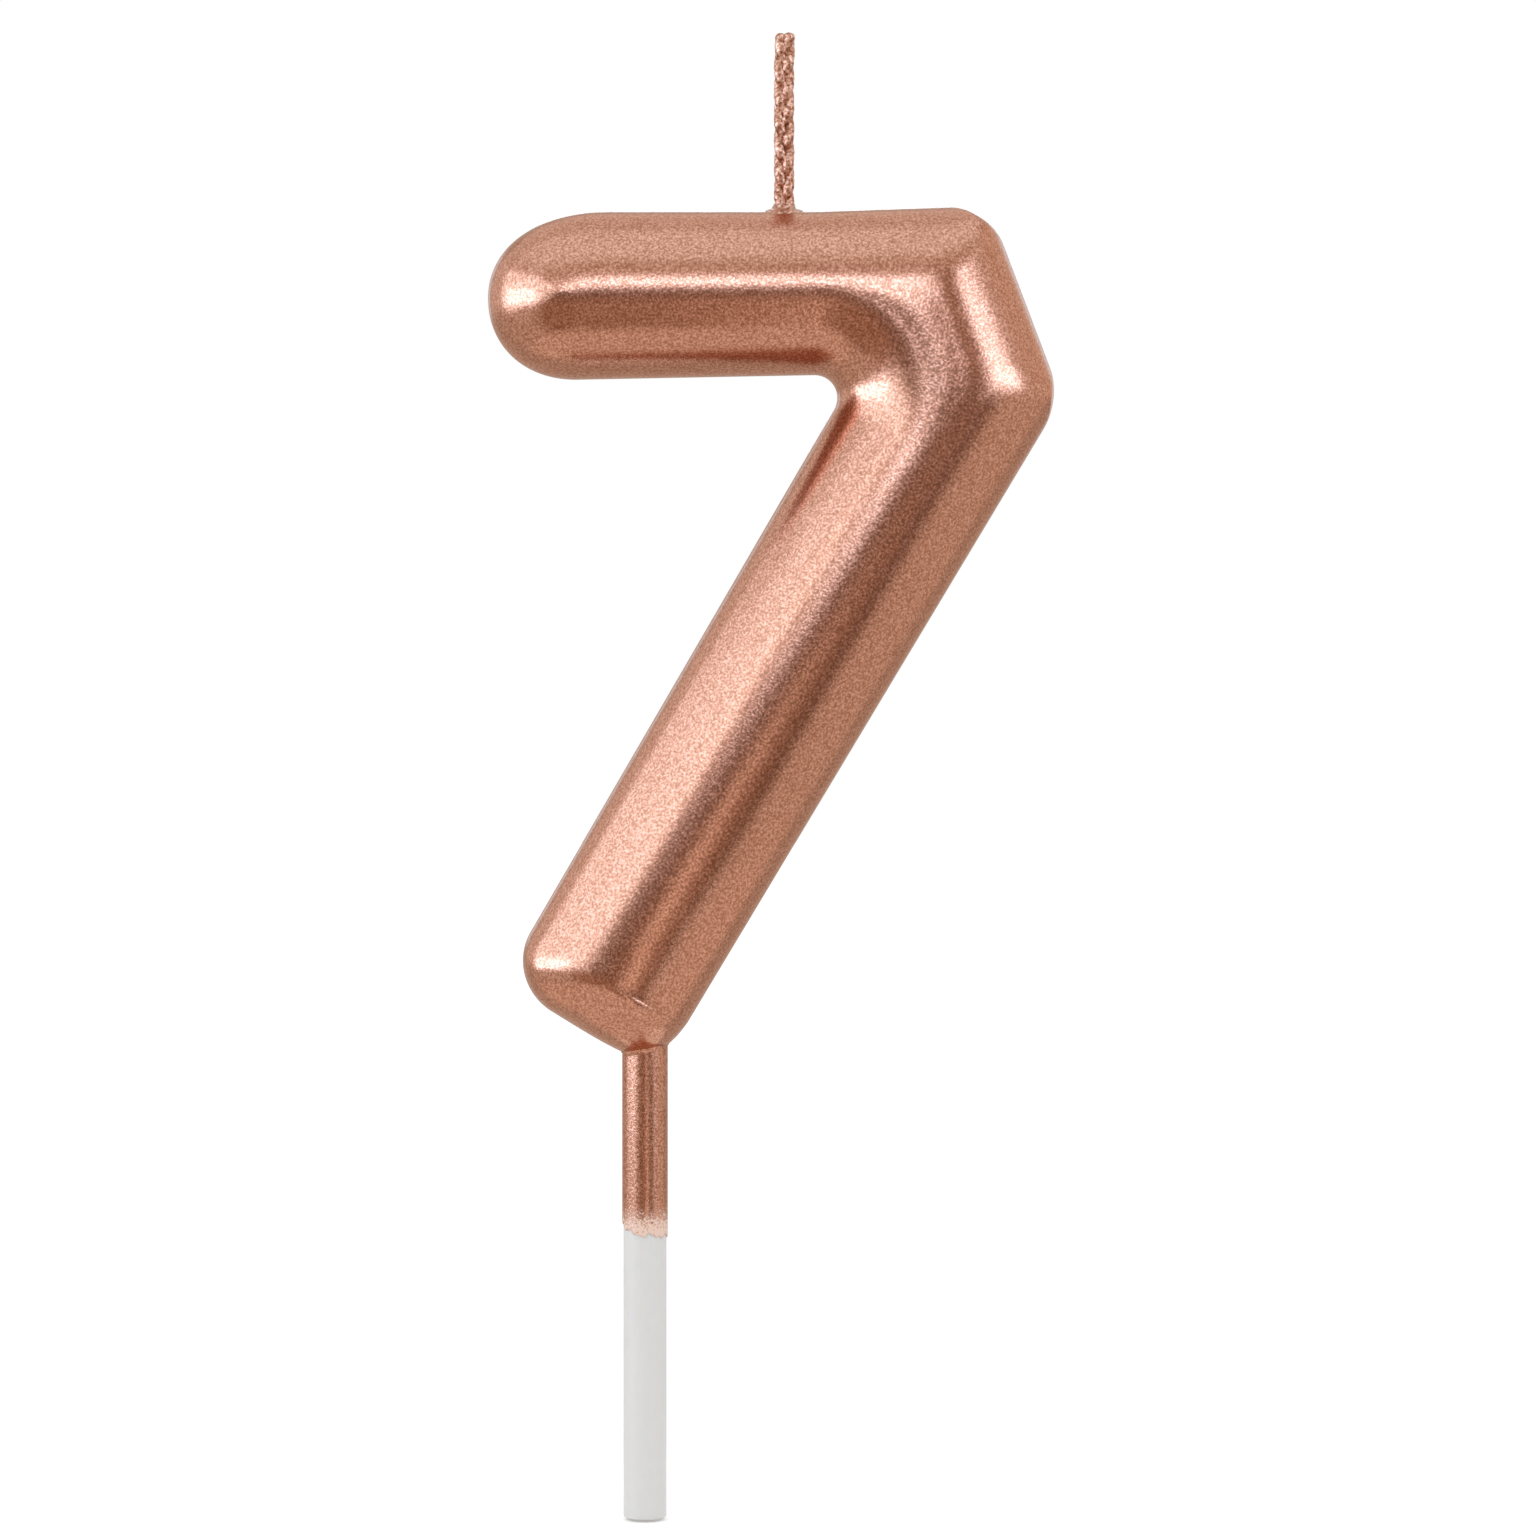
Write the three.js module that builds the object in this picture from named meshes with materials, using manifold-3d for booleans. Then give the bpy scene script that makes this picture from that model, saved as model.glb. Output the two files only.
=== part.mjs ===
import * as THREE from 'three';
import { mergeVertices } from 'three/addons/utils/BufferGeometryUtils.js';
import Module from 'manifold-3d';

// A number seven candle: a wax numeral under a thin metallic coat, a plaited wick and a plastic stick.
// Millimetres. X runs to the right, Y to the back and Z up the stick. The origin is the middle of the
// stick's lower end, and the middle plane of the numeral is Y = 0.

// Stick
const stickDiameter = 3.6;
const stickExposed = 39.2; // from its lower end up to the wax
const stickEmbedded = 15; // inside the leg of the numeral
const stickChamfer = 0.12;

// Coat, one skin over the wax, the upper stick and the foot of the wick
const coatOnWax = 0.3;
const coatOnStick = 0.08;
const coatedStick = 15.2; // how far the coat runs down the stick below the wax
const bondGap = 0.03; // between the coat, the wax and the stick, which cling to each other
const neckLip = 0.12; // the wax stands proud of the coated stick by this

// Numeral, front to back and seen from the front
const thickness = 13;
const numeralHeight = 69.7; // from the neck at the stick to the top of the bar
const barOverhang = 13.1; // from the stick's axis to the bar's left tip
const barHeightLeft = 13.95;
const barHeightRight = 13.5;
const tipDrop = 7.2; // the left tip lies this far below the top of the bar
const tipRoundTop = 10; // length of the rounding above the tip
const tipRoundBottom = 7.3; // length of the rounding below the tip
const tipFullness = 0.59; // of both roundings, where 0.55 is an ellipse and 1 a square corner
const cornerReach = 28.7; // from the stick's axis to the sharp upper right corner
const cornerRise = 0.5; // the top edge climbs by this on its way to that corner
const cornerRound = 5.5;
const shoulderTilt = 20.7; // degrees from upright, the short edge at the right
const kneeRound = 6.3;
const outerTilt = 30.96; // degrees from upright, the right edge of the leg
const outerFlare = 0.3; // that edge, drawn down to the neck, passes it by this
const innerTilt = 30.15; // degrees from upright, the left edge of the leg
const notchRound = 1.9;
const footTilt = 29; // degrees below level, the lower edge of the leg
const footLength = 11.35; // from the neck to the sharp left corner of the foot
const footRound = 4.7;
const footClosing = 1.7; // seen from the side, where 2 is an ellipse
const footRun = 1.5; // the middle of the leg runs on by this before it turns to the neck

// Wick, a plait of three strands
const wickOffset = 11.8; // from the stick's axis to the wick
const wickExposed = 14.9;
const wickLean = 0.12; // sideways, at its cut end
const strands = 3;
const strandDiameter = 0.58;
const strandGap = 0.03;
const plaitPitch = 6.3; // length in which a strand crosses over and back
const plaitSpread = 0.96; // sideways swing, in strand spacings
const plaitWeave = 0.66; // swing to and fro, in strand spacings, so that crossing strands stay clear
const wickTurn = 3.4; // length of bar that the wick needs to turn into it
const wickClearance = 0.1; // to the wax and the coat around it
const wickToStick = 6; // from the wick's inner end to the stick's, up the leg
const collarHeight = 0.65; // the coat climbs the wick by this
const collarSpread = 0.95; // and leaves it over this distance
const collarSink = 2; // the collar reaches this far below the top of the bar

// Faces
const around = 24;
const tipSteps = 8;
const barSteps = 5;
const bendSteps = 24;
const legSteps = 6;
const footSteps = 11;
const stickSides = 32;
const outlineSteps = 30;
const collarSteps = 5;
const channelSides = 12;
const channelSteps = 44;
const strandSides = 5;
const strandStepsPerPitch = 12;
const routeStride = 4; // the wick's route takes every fourth section of the stroke

const coatColor = 0xb47c63;
const waxColor = 0xefe6d2;
const stickColor = 0xdedede;

const wasm = await Module();
wasm.setup();

const point = (x, z) => new THREE.Vector2(x, z);
const radians = THREE.MathUtils.degToRad;
const heading = (degrees) => point(Math.cos(radians(degrees)), Math.sin(radians(degrees)));
const slope = (degrees) => Math.tan(radians(degrees));
const onward = (from, direction, distance) => from.clone().addScaledVector(direction, distance);

// Heights and radii that the pieces share
const stickRadius = stickDiameter / 2;
const socketRadius = stickRadius + bondGap;
const sleeveRadius = socketRadius + coatOnStick;
const neckRadius = sleeveRadius + neckLip;
const barTop = stickExposed + numeralHeight;
const stickTop = stickExposed + stickEmbedded;
const strandSpacing = strandDiameter + strandGap;
const plaitSwing = plaitSpread * strandSpacing;
const plaitDepth = plaitWeave * strandSpacing;
const channelRadius = plaitSwing + strandDiameter / 2 + wickClearance;

// Sharp corners of the outline
const neckRight = point(neckRadius, stickExposed);
const neckLeft = point(-neckRadius, stickExposed);
const footCorner = onward(neckLeft, heading(180 - footTilt), footLength);
const notchHeight = barTop - barHeightRight;
const notchCorner = point(
  footCorner.x + (notchHeight - footCorner.y) * slope(innerTilt),
  notchHeight,
);
const barTip = point(-barOverhang, barTop - tipDrop);
const barStartTop = point(barTip.x + tipRoundTop, barTop);
const barStartBottom = point(barTip.x + tipRoundBottom, barTop - barHeightLeft);
const upperCorner = point(cornerReach, barTop + cornerRise);
const outerFoot = point(neckRight.x + outerFlare, stickExposed);
const kneeHeight = (upperCorner.x - outerFoot.x + upperCorner.y * slope(shoulderTilt)
  + outerFoot.y * slope(outerTilt)) / (slope(shoulderTilt) + slope(outerTilt));
const kneeCorner = point(outerFoot.x + (kneeHeight - outerFoot.y) * slope(outerTilt), kneeHeight);

// The arc that rounds a corner between two straight edges
function fillet(before, corner, after, radius) {
  const back = before.clone().sub(corner).normalize();
  const ahead = after.clone().sub(corner).normalize();
  const halfAngle = Math.acos(back.dot(ahead)) / 2;
  const middle = back.clone().add(ahead).normalize();
  const centre = onward(corner, middle, radius / Math.sin(halfAngle));
  const start = onward(corner, back, radius / Math.tan(halfAngle));
  const end = onward(corner, ahead, radius / Math.tan(halfAngle));
  const startAngle = Math.atan2(start.y - centre.y, start.x - centre.x);
  const endAngle = Math.atan2(end.y - centre.y, end.x - centre.x);
  return { centre, start, end, startAngle, endAngle, radius, clockwise: back.cross(ahead) > 0 };
}

function addFillet(path, arc) {
  path.lineTo(arc.start.x, arc.start.y);
  path.absarc(arc.centre.x, arc.centre.y, arc.radius, arc.startAngle, arc.endAngle, arc.clockwise);
}

const knee = fillet(outerFoot, kneeCorner, upperCorner, kneeRound);
const notch = fillet(barStartBottom, notchCorner, footCorner, notchRound);
const foot = fillet(notchCorner, footCorner, neckLeft, footRound);
const swellStart = point(notch.centre.x, barTop);
const corner = fillet(kneeCorner, upperCorner, swellStart, cornerRound);

// The curve from one edge round to the next, where the edges would meet in a square corner
function addRounding(path, start, corner, end) {
  const first = start.clone().lerp(corner, tipFullness);
  const second = end.clone().lerp(corner, tipFullness);
  path.bezierCurveTo(first.x, first.y, second.x, second.y, end.x, end.y);
}

// The numeral's outline, counterclockwise from the right of the neck
function numeralOutline() {
  const path = new THREE.Path();
  path.moveTo(outerFoot.x, outerFoot.y);
  addFillet(path, knee);
  addFillet(path, corner);
  path.lineTo(swellStart.x, swellStart.y);
  path.lineTo(barStartTop.x, barStartTop.y);
  addRounding(path, barStartTop, point(barTip.x, barTop), barTip);
  addRounding(path, barTip, point(barTip.x, barStartBottom.y), barStartBottom);
  addFillet(path, notch);
  addFillet(path, foot);
  path.lineTo(neckLeft.x, neckLeft.y);
  path.lineTo(outerFoot.x, outerFoot.y);
  return path.getPoints(outlineSteps);
}

const outline = numeralOutline();

// Distance from a point inside the outline, or on it, to where a ray leaves the numeral
function reach(origin, direction) {
  const leastReach = 1;
  let nearest = Infinity;
  for (let i = 1; i < outline.length; i += 1) {
    const edge = outline[i].clone().sub(outline[i - 1]);
    const toEdge = outline[i - 1].clone().sub(origin);
    const turn = direction.cross(edge);
    const distance = toEdge.cross(edge) / turn;
    const alongEdge = toEdge.cross(direction) / turn;
    if (alongEdge >= 0 && alongEdge <= 1 && distance > leastReach && distance < nearest) {
      nearest = distance;
    }
  }
  return nearest;
}

// A section goes from the inner edge of the stroke, past its middle, to the outer edge
function sectionAcross(inner, direction, shareToMiddle = 0.5, chord = reach(inner, direction)) {
  return {
    inner,
    outer: onward(inner, direction, chord),
    middle: onward(inner, direction, chord * shareToMiddle),
    half: thickness / 2,
    lift: 0,
  };
}

// The rounded left end: sections fold about one middle until both halves point to the tip
function tipSections() {
  const { middle } = sectionAcross(barStartBottom, heading(90));
  return Array.from({ length: tipSteps }, (_, i) => {
    const turn = 180 - (90 * i) / tipSteps;
    return {
      inner: onward(middle, heading(-turn), reach(middle, heading(-turn))),
      outer: onward(middle, heading(turn), reach(middle, heading(turn))),
      middle,
      half: thickness / 2,
      lift: 0,
    };
  });
}

function barSections() {
  return Array.from({ length: barSteps }, (_, i) => (
    sectionAcross(barStartBottom.clone().lerp(notch.start, i / barSteps), heading(90))
  ));
}

// Round the notch the sections turn about the centre of its rounding. The middle of the stroke
// keeps the distance from the notch that it has in the bar and in the leg.
function bendSections() {
  const firstTurn = 90;
  const lastTurn = -innerTilt;
  const barHalf = reach(notch.start, heading(firstTurn)) / 2;
  const legHalf = reach(notch.end, heading(lastTurn)) / 2;
  return Array.from({ length: bendSteps }, (_, i) => {
    const share = i / bendSteps;
    const direction = heading(THREE.MathUtils.lerp(firstTurn, lastTurn, share));
    const inner = onward(notch.centre, direction, notchRound);
    const chord = reach(inner, direction);
    return sectionAcross(inner, direction, THREE.MathUtils.lerp(barHalf, legHalf, share) / chord, chord);
  });
}

function legSections() {
  return Array.from({ length: legSteps }, (_, i) => (
    sectionAcross(notch.end.clone().lerp(foot.start, i / legSteps), heading(-innerTilt))
  ));
}

// The foot swings round to the neck, where it closes on the coated stick
function footSections() {
  const lowerEdge = new THREE.Path();
  lowerEdge.moveTo(foot.start.x, foot.start.y);
  addFillet(lowerEdge, foot);
  lowerEdge.lineTo(neckLeft.x, neckLeft.y);
  const first = sectionAcross(foot.start, heading(-innerTilt));
  const turn = onward(first.middle, heading(-90 - innerTilt), footRun);
  const middleLine = new THREE.QuadraticBezierCurve(first.middle, turn, point(0, stickExposed));
  return Array.from({ length: footSteps + 1 }, (_, i) => {
    const share = i / footSteps;
    return {
      inner: lowerEdge.getPointAt(share),
      outer: first.outer.clone().lerp(neckRight, share),
      middle: middleLine.getPoint(share),
      half: neckRadius + (thickness / 2 - neckRadius) * (1 - share ** 2) ** (1 / footClosing),
      lift: share,
    };
  });
}

const sections = [
  ...tipSections(), ...barSections(), ...bendSections(), ...legSections(), ...footSections(),
];

// A closed mesh without the triangles that shrank to a line where sections share their middle
function solidFrom(geometry) {
  geometry.deleteAttribute('normal');
  geometry.deleteAttribute('uv');
  const merged = mergeVertices(geometry, 1e-4);
  const corners = merged.index.array;
  const kept = [];
  for (let i = 0; i < corners.length; i += 3) {
    const [a, b, c] = corners.slice(i, i + 3);
    if (a !== b && b !== c && c !== a) {
      kept.push(a, b, c);
    }
  }
  return new wasm.Manifold(new wasm.Mesh({
    numProp: 3,
    vertProperties: new Float32Array(merged.attributes.position.array),
    triVerts: new Uint32Array(kept),
  }));
}

function geometryFrom(solid) {
  const mesh = solid.getMesh();
  const geometry = new THREE.BufferGeometry();
  geometry.setAttribute('position', new THREE.BufferAttribute(mesh.vertProperties, 3));
  geometry.setIndex(new THREE.BufferAttribute(mesh.triVerts, 1));
  geometry.computeVertexNormals();
  return geometry;
}

// The numeral, or the numeral less a skin of the given depth, lofted through elliptic sections
function numeralSolid(inset) {
  const positions = [];
  for (const section of sections) {
    for (let j = 0; j < around; j += 1) {
      const angle = (j / around) * Math.PI * 2;
      const edge = Math.cos(angle) >= 0 ? section.outer : section.inner;
      const width = edge.distanceTo(section.middle) - inset;
      const share = (width * Math.abs(Math.cos(angle))) / edge.distanceTo(section.middle);
      const { x, y: z } = section.middle.clone().lerp(edge, share);
      positions.push(x, -(section.half - inset) * Math.sin(angle), z + section.lift * inset);
    }
  }
  const last = sections.length - 1;
  const neck = sections[last].middle;
  positions.push(neck.x, 0, neck.y + inset);
  const neckMiddle = sections.length * around;
  const triangles = [];
  for (let j = 0; j < around; j += 1) {
    const next = (j + 1) % around;
    for (let i = 0; i < last; i += 1) {
      const [a, b] = [i * around + j, i * around + next];
      triangles.push(a, b, a + around, b, b + around, a + around);
    }
    triangles.push(last * around + j, last * around + next, neckMiddle);
  }
  const geometry = new THREE.BufferGeometry();
  geometry.setAttribute('position', new THREE.BufferAttribute(new Float32Array(positions), 3));
  geometry.setIndex(triangles);
  return solidFrom(geometry);
}

// A round bar on the stick's axis
function roundBar(radius, bottom, top) {
  const geometry = new THREE.CylinderGeometry(radius, radius, top - bottom, stickSides);
  geometry.rotateX(Math.PI / 2);
  geometry.translate(0, 0, (top + bottom) / 2);
  return solidFrom(geometry);
}

// The wick stands on the bar, turns into it and follows the middle of the stroke down the leg
function wickRoute() {
  const stroke = [...barSections(), ...bendSections(), ...legSections()];
  const entry = stroke.findIndex(({ middle }) => middle.x > wickOffset + wickTurn);
  const inside = stroke
    .slice(entry)
    .filter(({ middle }, i) => i % routeStride === 0 && middle.y > stickTop + wickToStick);
  return new THREE.CatmullRomCurve3([
    new THREE.Vector3(wickOffset + wickLean, 0, barTop + wickExposed),
    new THREE.Vector3(wickOffset, 0, barTop + wickExposed / 2),
    new THREE.Vector3(wickOffset, 0, barTop),
    ...inside.map(({ middle }) => new THREE.Vector3(middle.x, 0, middle.y)),
  ]);
}

const route = wickRoute();

// One strand of the plait: it swings from side to side once, and to and fro twice, in each pitch
class PlaitStrand extends THREE.Curve {
  constructor(startTurn) {
    super();
    this.startTurn = startTurn;
  }

  getPoint(t, target = new THREE.Vector3()) {
    const turn = this.startTurn + (Math.PI * 2 * t * route.getLength()) / plaitPitch;
    const along = route.getTangentAt(t);
    target.copy(route.getPointAt(t));
    target.x -= along.z * plaitSwing * Math.sin(turn);
    target.z += along.x * plaitSwing * Math.sin(turn);
    target.y += plaitDepth * Math.sin(2 * turn);
    return target;
  }
}

function tubeAlong(curve, radius, sides, steps) {
  const corners = Array.from({ length: sides }, (_, i) => heading((360 * i) / sides).multiplyScalar(radius));
  return new THREE.ExtrudeGeometry(new THREE.Shape(corners), {
    steps,
    extrudePath: curve,
    bevelEnabled: false,
  });
}

const wickChannel = () => solidFrom(tubeAlong(route, channelRadius, channelSides, channelSteps));

// The coat climbs the foot of the wick in a hollow curve
function wickCollar() {
  const lip = channelRadius + coatOnStick;
  const flare = new THREE.QuadraticBezierCurve(
    point(lip + collarSpread, -collarHeight / 2),
    point(lip, 0),
    point(lip, collarHeight),
  );
  const profile = [
    point(0, -collarSink),
    point(lip + collarSpread, -collarSink),
    ...flare.getPoints(collarSteps),
    point(0, collarHeight),
  ];
  const geometry = new THREE.LatheGeometry(profile, around);
  geometry.rotateX(Math.PI / 2);
  geometry.translate(wickOffset, 0, barTop);
  return solidFrom(geometry);
}

function waxCore() {
  return numeralSolid(coatOnWax + bondGap)
    .subtract(roundBar(socketRadius, 0, stickTop + bondGap))
    .subtract(wickChannel());
}

function metallicCoat() {
  const sleeveEnd = stickExposed - coatedStick;
  const outside = numeralSolid(0)
    .add(roundBar(sleeveRadius, sleeveEnd, stickTop))
    .add(wickCollar());
  return outside
    .subtract(numeralSolid(coatOnWax))
    .subtract(roundBar(socketRadius, 0, stickTop))
    .subtract(wickChannel());
}

function stickGeometry() {
  const profile = [
    point(0, 0),
    point(stickRadius - stickChamfer, 0),
    point(stickRadius, stickChamfer),
    point(stickRadius, stickTop - stickChamfer),
    point(stickRadius - stickChamfer, stickTop),
    point(0, stickTop),
  ];
  const geometry = new THREE.LatheGeometry(profile, stickSides);
  geometry.rotateX(Math.PI / 2);
  return geometry;
}

function strandGeometry(index) {
  const strand = new PlaitStrand((index / strands) * Math.PI * 2);
  const steps = Math.round((route.getLength() / plaitPitch) * strandStepsPerPitch);
  return tubeAlong(strand, strandDiameter / 2, strandSides, steps);
}

function piece(name, geometry, color, roughness, metalness) {
  const mesh = new THREE.Mesh(geometry, new THREE.MeshStandardMaterial({ color, roughness, metalness }));
  mesh.name = name;
  return mesh;
}

const candle = new THREE.Group();
candle.add(piece('wax_core', geometryFrom(waxCore()), waxColor, 0.5, 0));
candle.add(piece('metallic_coat', geometryFrom(metallicCoat()), coatColor, 0.35, 1));
candle.add(piece('stick', stickGeometry(), stickColor, 0.45, 0));
for (let i = 0; i < strands; i += 1) {
  candle.add(piece(`wick_strand_${i + 1}`, strandGeometry(i), coatColor, 0.5, 0.8));
}

export default candle;
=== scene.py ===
import math

import bmesh
import bpy
import numpy as np
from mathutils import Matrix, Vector


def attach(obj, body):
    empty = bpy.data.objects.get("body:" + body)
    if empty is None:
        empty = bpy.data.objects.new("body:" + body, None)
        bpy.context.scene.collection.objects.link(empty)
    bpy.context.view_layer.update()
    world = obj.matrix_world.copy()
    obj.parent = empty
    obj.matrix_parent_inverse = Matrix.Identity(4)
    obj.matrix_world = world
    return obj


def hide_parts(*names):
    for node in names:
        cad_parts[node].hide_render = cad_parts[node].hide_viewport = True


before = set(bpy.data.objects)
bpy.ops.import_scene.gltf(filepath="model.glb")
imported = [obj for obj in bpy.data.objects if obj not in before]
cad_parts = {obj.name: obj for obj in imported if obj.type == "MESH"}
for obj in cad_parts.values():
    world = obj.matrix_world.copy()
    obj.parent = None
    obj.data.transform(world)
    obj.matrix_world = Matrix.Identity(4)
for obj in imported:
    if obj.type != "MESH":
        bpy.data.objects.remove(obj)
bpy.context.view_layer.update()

# Sizes of the object are in millimetres and degrees, as in the CAD source. new_mesh turns them to metres.
MM = 0.001

# The stick and the coat on it
STICK_RADIUS = 1.8
STICK_EXPOSED = 39.2
STICK_TOP = 54.2
BOND_GAP = 0.03
COAT_ON_STICK = 0.08
COATED_STICK = 15.2
NECK_LIP = 0.12
SOCKET_RADIUS = STICK_RADIUS + BOND_GAP
SLEEVE_RADIUS = SOCKET_RADIUS + COAT_ON_STICK
NECK_RADIUS = SLEEVE_RADIUS + NECK_LIP

# The numeral's outline
HALF_THICKNESS = 6.5
BAR_TOP = 108.9
BAR_OVERHANG = 13.1
BAR_HEIGHT_LEFT = 13.95
BAR_HEIGHT_RIGHT = 13.5
TIP_DROP = 7.2
TIP_ROUND_TOP = 10.0
TIP_ROUND_BOTTOM = 7.3
TIP_FULLNESS = 0.59
CORNER_REACH = 28.7
CORNER_RISE = 0.5
CORNER_ROUND = 5.5
SHOULDER_TILT = 20.7
KNEE_ROUND = 6.3
OUTER_TILT = 30.96
OUTER_FLARE = 0.3
INNER_TILT = 30.15
NOTCH_ROUND = 1.9
FOOT_TILT = 29.0
FOOT_LENGTH = 11.35
FOOT_ROUND = 4.7
FOOT_CLOSING = 1.7
FOOT_RUN = 1.5
NECK_TILT = 0.16

# The swell of its faces
CREASE_WIDTH = 1.7
FOOT_CAP = 5.6
FOOT_CREASE = 2.1
ELBOW_DOME = 0.12
RIM_STEEPNESS = 2.5

# The lip under the neck: how far it stands outside the sleeve, and how far below the neck it is there
LIP = ((0.09, 0.1), (0.03, 0.16), (0.0, 0.2))
# Where the coat ends on the stick, it is uneven: height of a wave, how often it goes round, and its phase
WORN_END = ((0.45, 1, math.pi / 2), (-0.25, 2, math.pi / 2), (0.14, 3, 1), (0.11, 7, 2), (0.08, 13, 0),
            (0.06, 23, 4), (0.05, 37, 1))
WORN_FURTHER = 0.15
# The hole for the stick is closed this far up, where the wax hides it
SOCKET_CLOSED = 2

# The wick and the collar of lacquer at its foot
WICK_OFFSET = 11.62
WICK_EXPOSED = 14.83
WICK_LEAN = 0.1
WICK_STRAIGHT = (0.8 * WICK_EXPOSED, 0.4 * WICK_EXPOSED, 1, -1)
WICK_TURN = 3.4
WICK_TO_STICK = 6.0
WICK_HALF = 0.84
STRANDS = 3
STRAND_RADIUS = 0.46
STRAND_END = (0.8, 0.94)
PLAIT_PITCH = 6.3
PLAIT_SWING = 0.39
PLAIT_DEPTH = 0.28
PLAIT_FULLNESS = 1.8
LUMP = 0.03
LUMP_RATES = (5.1, 11.3)
COLLAR_GAP = 0.02
COLLAR_HEIGHT = 0.65
COLLAR_FALL = 1.6
COLLAR_SPREAD = 0.88
COLLAR_FLARE = 2.2
COLLAR_BEAD = 0.14
COLLAR_BEAD_OUT = 3
COLLAR_SINK = 0.1
COLLAR_SINK_OUT = 8
COLLAR_DEEPER = 0.4
COLLAR_UNEVEN = ((0.05, 2, 1), (0.04, 5, 0))
COLLAR_CAP_SHARE = 0.5
COLLAR_CAP_DROP = 0.2
COLLAR_FLOOR_DROP = 0.4

# How finely the meshes are made
AROUND = 160
ARC_STEPS = 160
TIP_CURVE_STEPS = 60
TIP_STEPS, BAR_STEPS, BEND_STEPS, LEG_STEPS, FOOT_STEPS = 60, 60, 240, 80, 90
FOOT_CROWDING = 1.5
FOOT_LEAD = 8
FOOT_SMOOTHING = 80
ROUND_SMOOTHING = 80
SLEEVE_RINGS = 60
COLLAR_RINGS = 16
STRAND_SIDES = 20
ROUTE_SECTIONS = (0, 5, 24, 6, 1)
ROUTE_EVERY = 4
ROUTE_POINTS = 500
SPLINE_STEPS = 40
WELD = 0.001
# Added to or put in place of a divisor that may be zero
TINY = 1e-9
NOT_ZERO = 1e-12


def vec(x, z):
    return np.array([x, z], float)


def heading(degrees):
    return vec(math.cos(math.radians(degrees)), math.sin(math.radians(degrees)))


def slope(degrees):
    return math.tan(math.radians(degrees))


def unit(v):
    return v / np.linalg.norm(v)


def run_lengths(points):
    """How far along a line each of its points lies."""
    return np.concatenate([[0], np.cumsum(np.linalg.norm(np.diff(points, axis=0), axis=1))])


def directions(points):
    tangents = np.gradient(points, axis=0)
    return tangents / np.linalg.norm(tangents, axis=1)[:, None]


def waves(rows, angle):
    return sum(height * np.sin(count * angle + phase) for height, count, phase in rows)


UP = heading(90)
ACROSS_LEG = heading(-INNER_TILT)
ROUND = np.linspace(0, 2 * math.pi, AROUND, endpoint=False)

# Sharp corners of the numeral's outline, in the plane of X and Z
neck_right = vec(NECK_RADIUS, STICK_EXPOSED)
neck_left = vec(-NECK_RADIUS, STICK_EXPOSED)
foot_corner = neck_left + FOOT_LENGTH * heading(180 - FOOT_TILT)
notch_height = BAR_TOP - BAR_HEIGHT_RIGHT
notch_corner = vec(foot_corner[0] + (notch_height - foot_corner[1]) * slope(INNER_TILT), notch_height)
bar_tip = vec(-BAR_OVERHANG, BAR_TOP - TIP_DROP)
bar_start_top = vec(bar_tip[0] + TIP_ROUND_TOP, BAR_TOP)
bar_start_bottom = vec(bar_tip[0] + TIP_ROUND_BOTTOM, BAR_TOP - BAR_HEIGHT_LEFT)
upper_corner = vec(CORNER_REACH, BAR_TOP + CORNER_RISE)
outer_foot = vec(neck_right[0] + OUTER_FLARE, STICK_EXPOSED)
knee_height = (upper_corner[0] - outer_foot[0] + upper_corner[1] * slope(SHOULDER_TILT)
               + outer_foot[1] * slope(OUTER_TILT)) / (slope(SHOULDER_TILT) + slope(OUTER_TILT))
knee_corner = vec(outer_foot[0] + (knee_height - outer_foot[1]) * slope(OUTER_TILT), knee_height)


def fillet(before, corner, after, radius):
    """The arc that rounds a corner between two straight edges."""
    back, ahead = unit(before - corner), unit(after - corner)
    half_angle = math.acos(back @ ahead) / 2
    centre = corner + unit(back + ahead) * radius / math.sin(half_angle)
    start = corner + back * radius / math.tan(half_angle)
    end = corner + ahead * radius / math.tan(half_angle)
    a0 = math.atan2(*(start - centre)[::-1])
    a1 = math.atan2(*(end - centre)[::-1])
    turn = (a1 - a0 + math.pi) % (2 * math.pi) - math.pi
    points = [centre + radius * vec(math.cos(a0 + turn * s), math.sin(a0 + turn * s))
              for s in np.linspace(0, 1, ARC_STEPS)]
    return {"centre": centre, "start": start, "end": end, "points": points}


def rounding(start, corner, end):
    """The curve from one edge round to the next, where they would meet in a square corner."""
    first = start + (corner - start) * TIP_FULLNESS
    second = end + (corner - end) * TIP_FULLNESS
    return [(1 - t) ** 3 * start + 3 * t * (1 - t) ** 2 * first + 3 * t * t * (1 - t) * second + t ** 3 * end
            for t in np.linspace(0, 1, TIP_CURVE_STEPS)]


knee = fillet(outer_foot, knee_corner, upper_corner, KNEE_ROUND)
notch = fillet(bar_start_bottom, notch_corner, foot_corner, NOTCH_ROUND)
foot = fillet(notch_corner, foot_corner, neck_left, FOOT_ROUND)
swell_start = vec(notch["centre"][0], BAR_TOP)
corner = fillet(knee_corner, upper_corner, swell_start, CORNER_ROUND)
shoulder_curve = [outer_foot, *knee["points"], *corner["points"], swell_start]
tip_curve = [*rounding(bar_start_top, vec(bar_tip[0], BAR_TOP), bar_tip),
             *rounding(bar_tip, vec(bar_tip[0], bar_start_bottom[1]), bar_start_bottom)]
outline = np.array([*shoulder_curve, *tip_curve, *notch["points"], *foot["points"], neck_left, outer_foot])


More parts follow.
